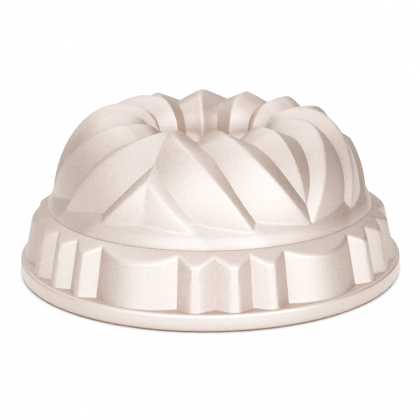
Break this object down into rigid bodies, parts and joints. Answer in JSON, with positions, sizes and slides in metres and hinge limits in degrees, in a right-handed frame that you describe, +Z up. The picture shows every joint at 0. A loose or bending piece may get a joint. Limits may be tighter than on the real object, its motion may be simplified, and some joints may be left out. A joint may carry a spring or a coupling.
{
  "type": "fluted tube pan",
  "caption": "Round cake mould with a swept fluted dome, a crown-shaped collar, a hemmed rim and a tapered tube through the middle, standing on its rim.",
  "frame": {"origin": "middle of the rim's resting face, on the surface that the pan stands on", "axes": "+Z up along the tube, -Y towards the front, where a peak of the flutes lies, +X to the right"},
  "size_m": [0.25, 0.25, 0.1037],
  "materials": {
    "champagne_coat": "satin champagne non-stick coat with a fine sandy speckle",
    "tube_coat": "satin champagne non-stick coat",
    "wire_steel": "drawn steel wire"
  },
  "bodies": {
    "root": {"fluted_shell": "champagne_coat", "centre_tube": "tube_coat", "rim_wire": "wire_steel"}
  },
  "joints": []
}
